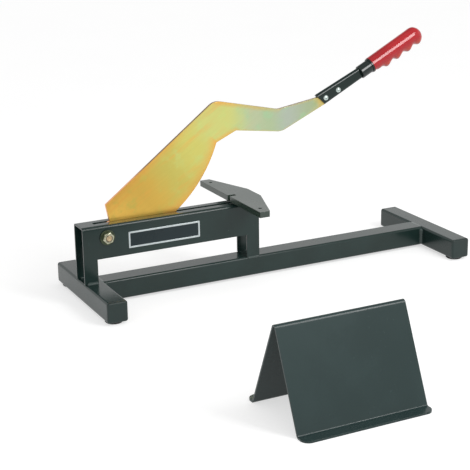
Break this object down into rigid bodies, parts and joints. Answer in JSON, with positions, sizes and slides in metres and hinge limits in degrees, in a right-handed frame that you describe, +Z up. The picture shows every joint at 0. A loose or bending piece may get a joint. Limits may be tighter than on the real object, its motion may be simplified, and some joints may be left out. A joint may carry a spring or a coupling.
{
  "type": "laminate cutter",
  "caption": "Bench guillotine for laminate boards: welded base, slotted beam, hinged blade arm with a moulded grip, fence plate and a loose board stand.",
  "frame": {"origin": "bottom centre of the whole object's box, the loose stand included, on the floor", "axes": "+X from the pivot end to the far foot, +Y away from the user, +Z up; the arm is half way down"},
  "size_m": [0.7, 0.7466, 0.4096],
  "materials": {
    "frame_paint": "satin, dark green black",
    "stand_paint": "satin, dark green black",
    "fence_paint": "satin, dark grey green",
    "dark_steel": "blackened",
    "yellow_zinc_hardware": "yellow zinc plating",
    "dark_washer": "blackened, olive rim",
    "plain_steel": "turned",
    "guide_plastic": "matt",
    "cap_plastic": "fine grain",
    "pad_rubber": "matt",
    "blade_zinc": "brushed, iridescent yellow zinc",
    "bush_bronze": "turned",
    "tube_gloss": "gloss black",
    "collar_gloss": "gloss black",
    "grip_red": "gloss red",
    "rivet_metal": "bright"
  },
  "bodies": {
    "frame": {"left_foot_tube": "frame_paint", "right_foot_tube": "frame_paint", "base_tube": "frame_paint", "beam_channel": "frame_paint", "weld_beads": "frame_paint", "fence_plate": "fence_paint", "fence_packer": "fence_paint", "fence_screws": "dark_steel", "pivot_bolt": "yellow_zinc_hardware", "pivot_nut": "yellow_zinc_hardware", "front_washer": "dark_washer", "back_washer": "dark_washer", "front_friction_disc": "plain_steel", "back_friction_disc": "plain_steel", "front_spacer": "plain_steel", "back_spacer": "plain_steel", "front_guide_rail": "guide_plastic", "back_guide_rail": "guide_plastic", "left_front_cap": "cap_plastic", "left_back_cap": "cap_plastic", "right_front_cap": "cap_plastic", "right_back_cap": "cap_plastic", "left_front_pad": "pad_rubber", "left_back_pad": "pad_rubber", "right_front_pad": "pad_rubber", "right_back_pad": "pad_rubber"},
    "arm": {"blade_plate": "blade_zinc", "pivot_bush": "bush_bronze", "handle_tube": "tube_gloss", "handle_collar": "collar_gloss", "grip": "grip_red", "inner_rivet": "rivet_metal", "outer_rivet": "rivet_metal"},
    "stand": {"board_stand": "stand_paint"}
  },
  "joints": [
    {"name": "blade_swing", "type": "hinge", "parent": "frame", "child": "arm", "pos_m": [-0.3075, 0.25325, 0.116], "axis": [0, -1, 0], "range_deg": [-24, 60]},
    {"name": "stand_slide", "type": "slide", "parent": "frame", "child": "stand", "axis": [0, 1, 0], "range_m": [-0.3, 0.3]}
  ]
}
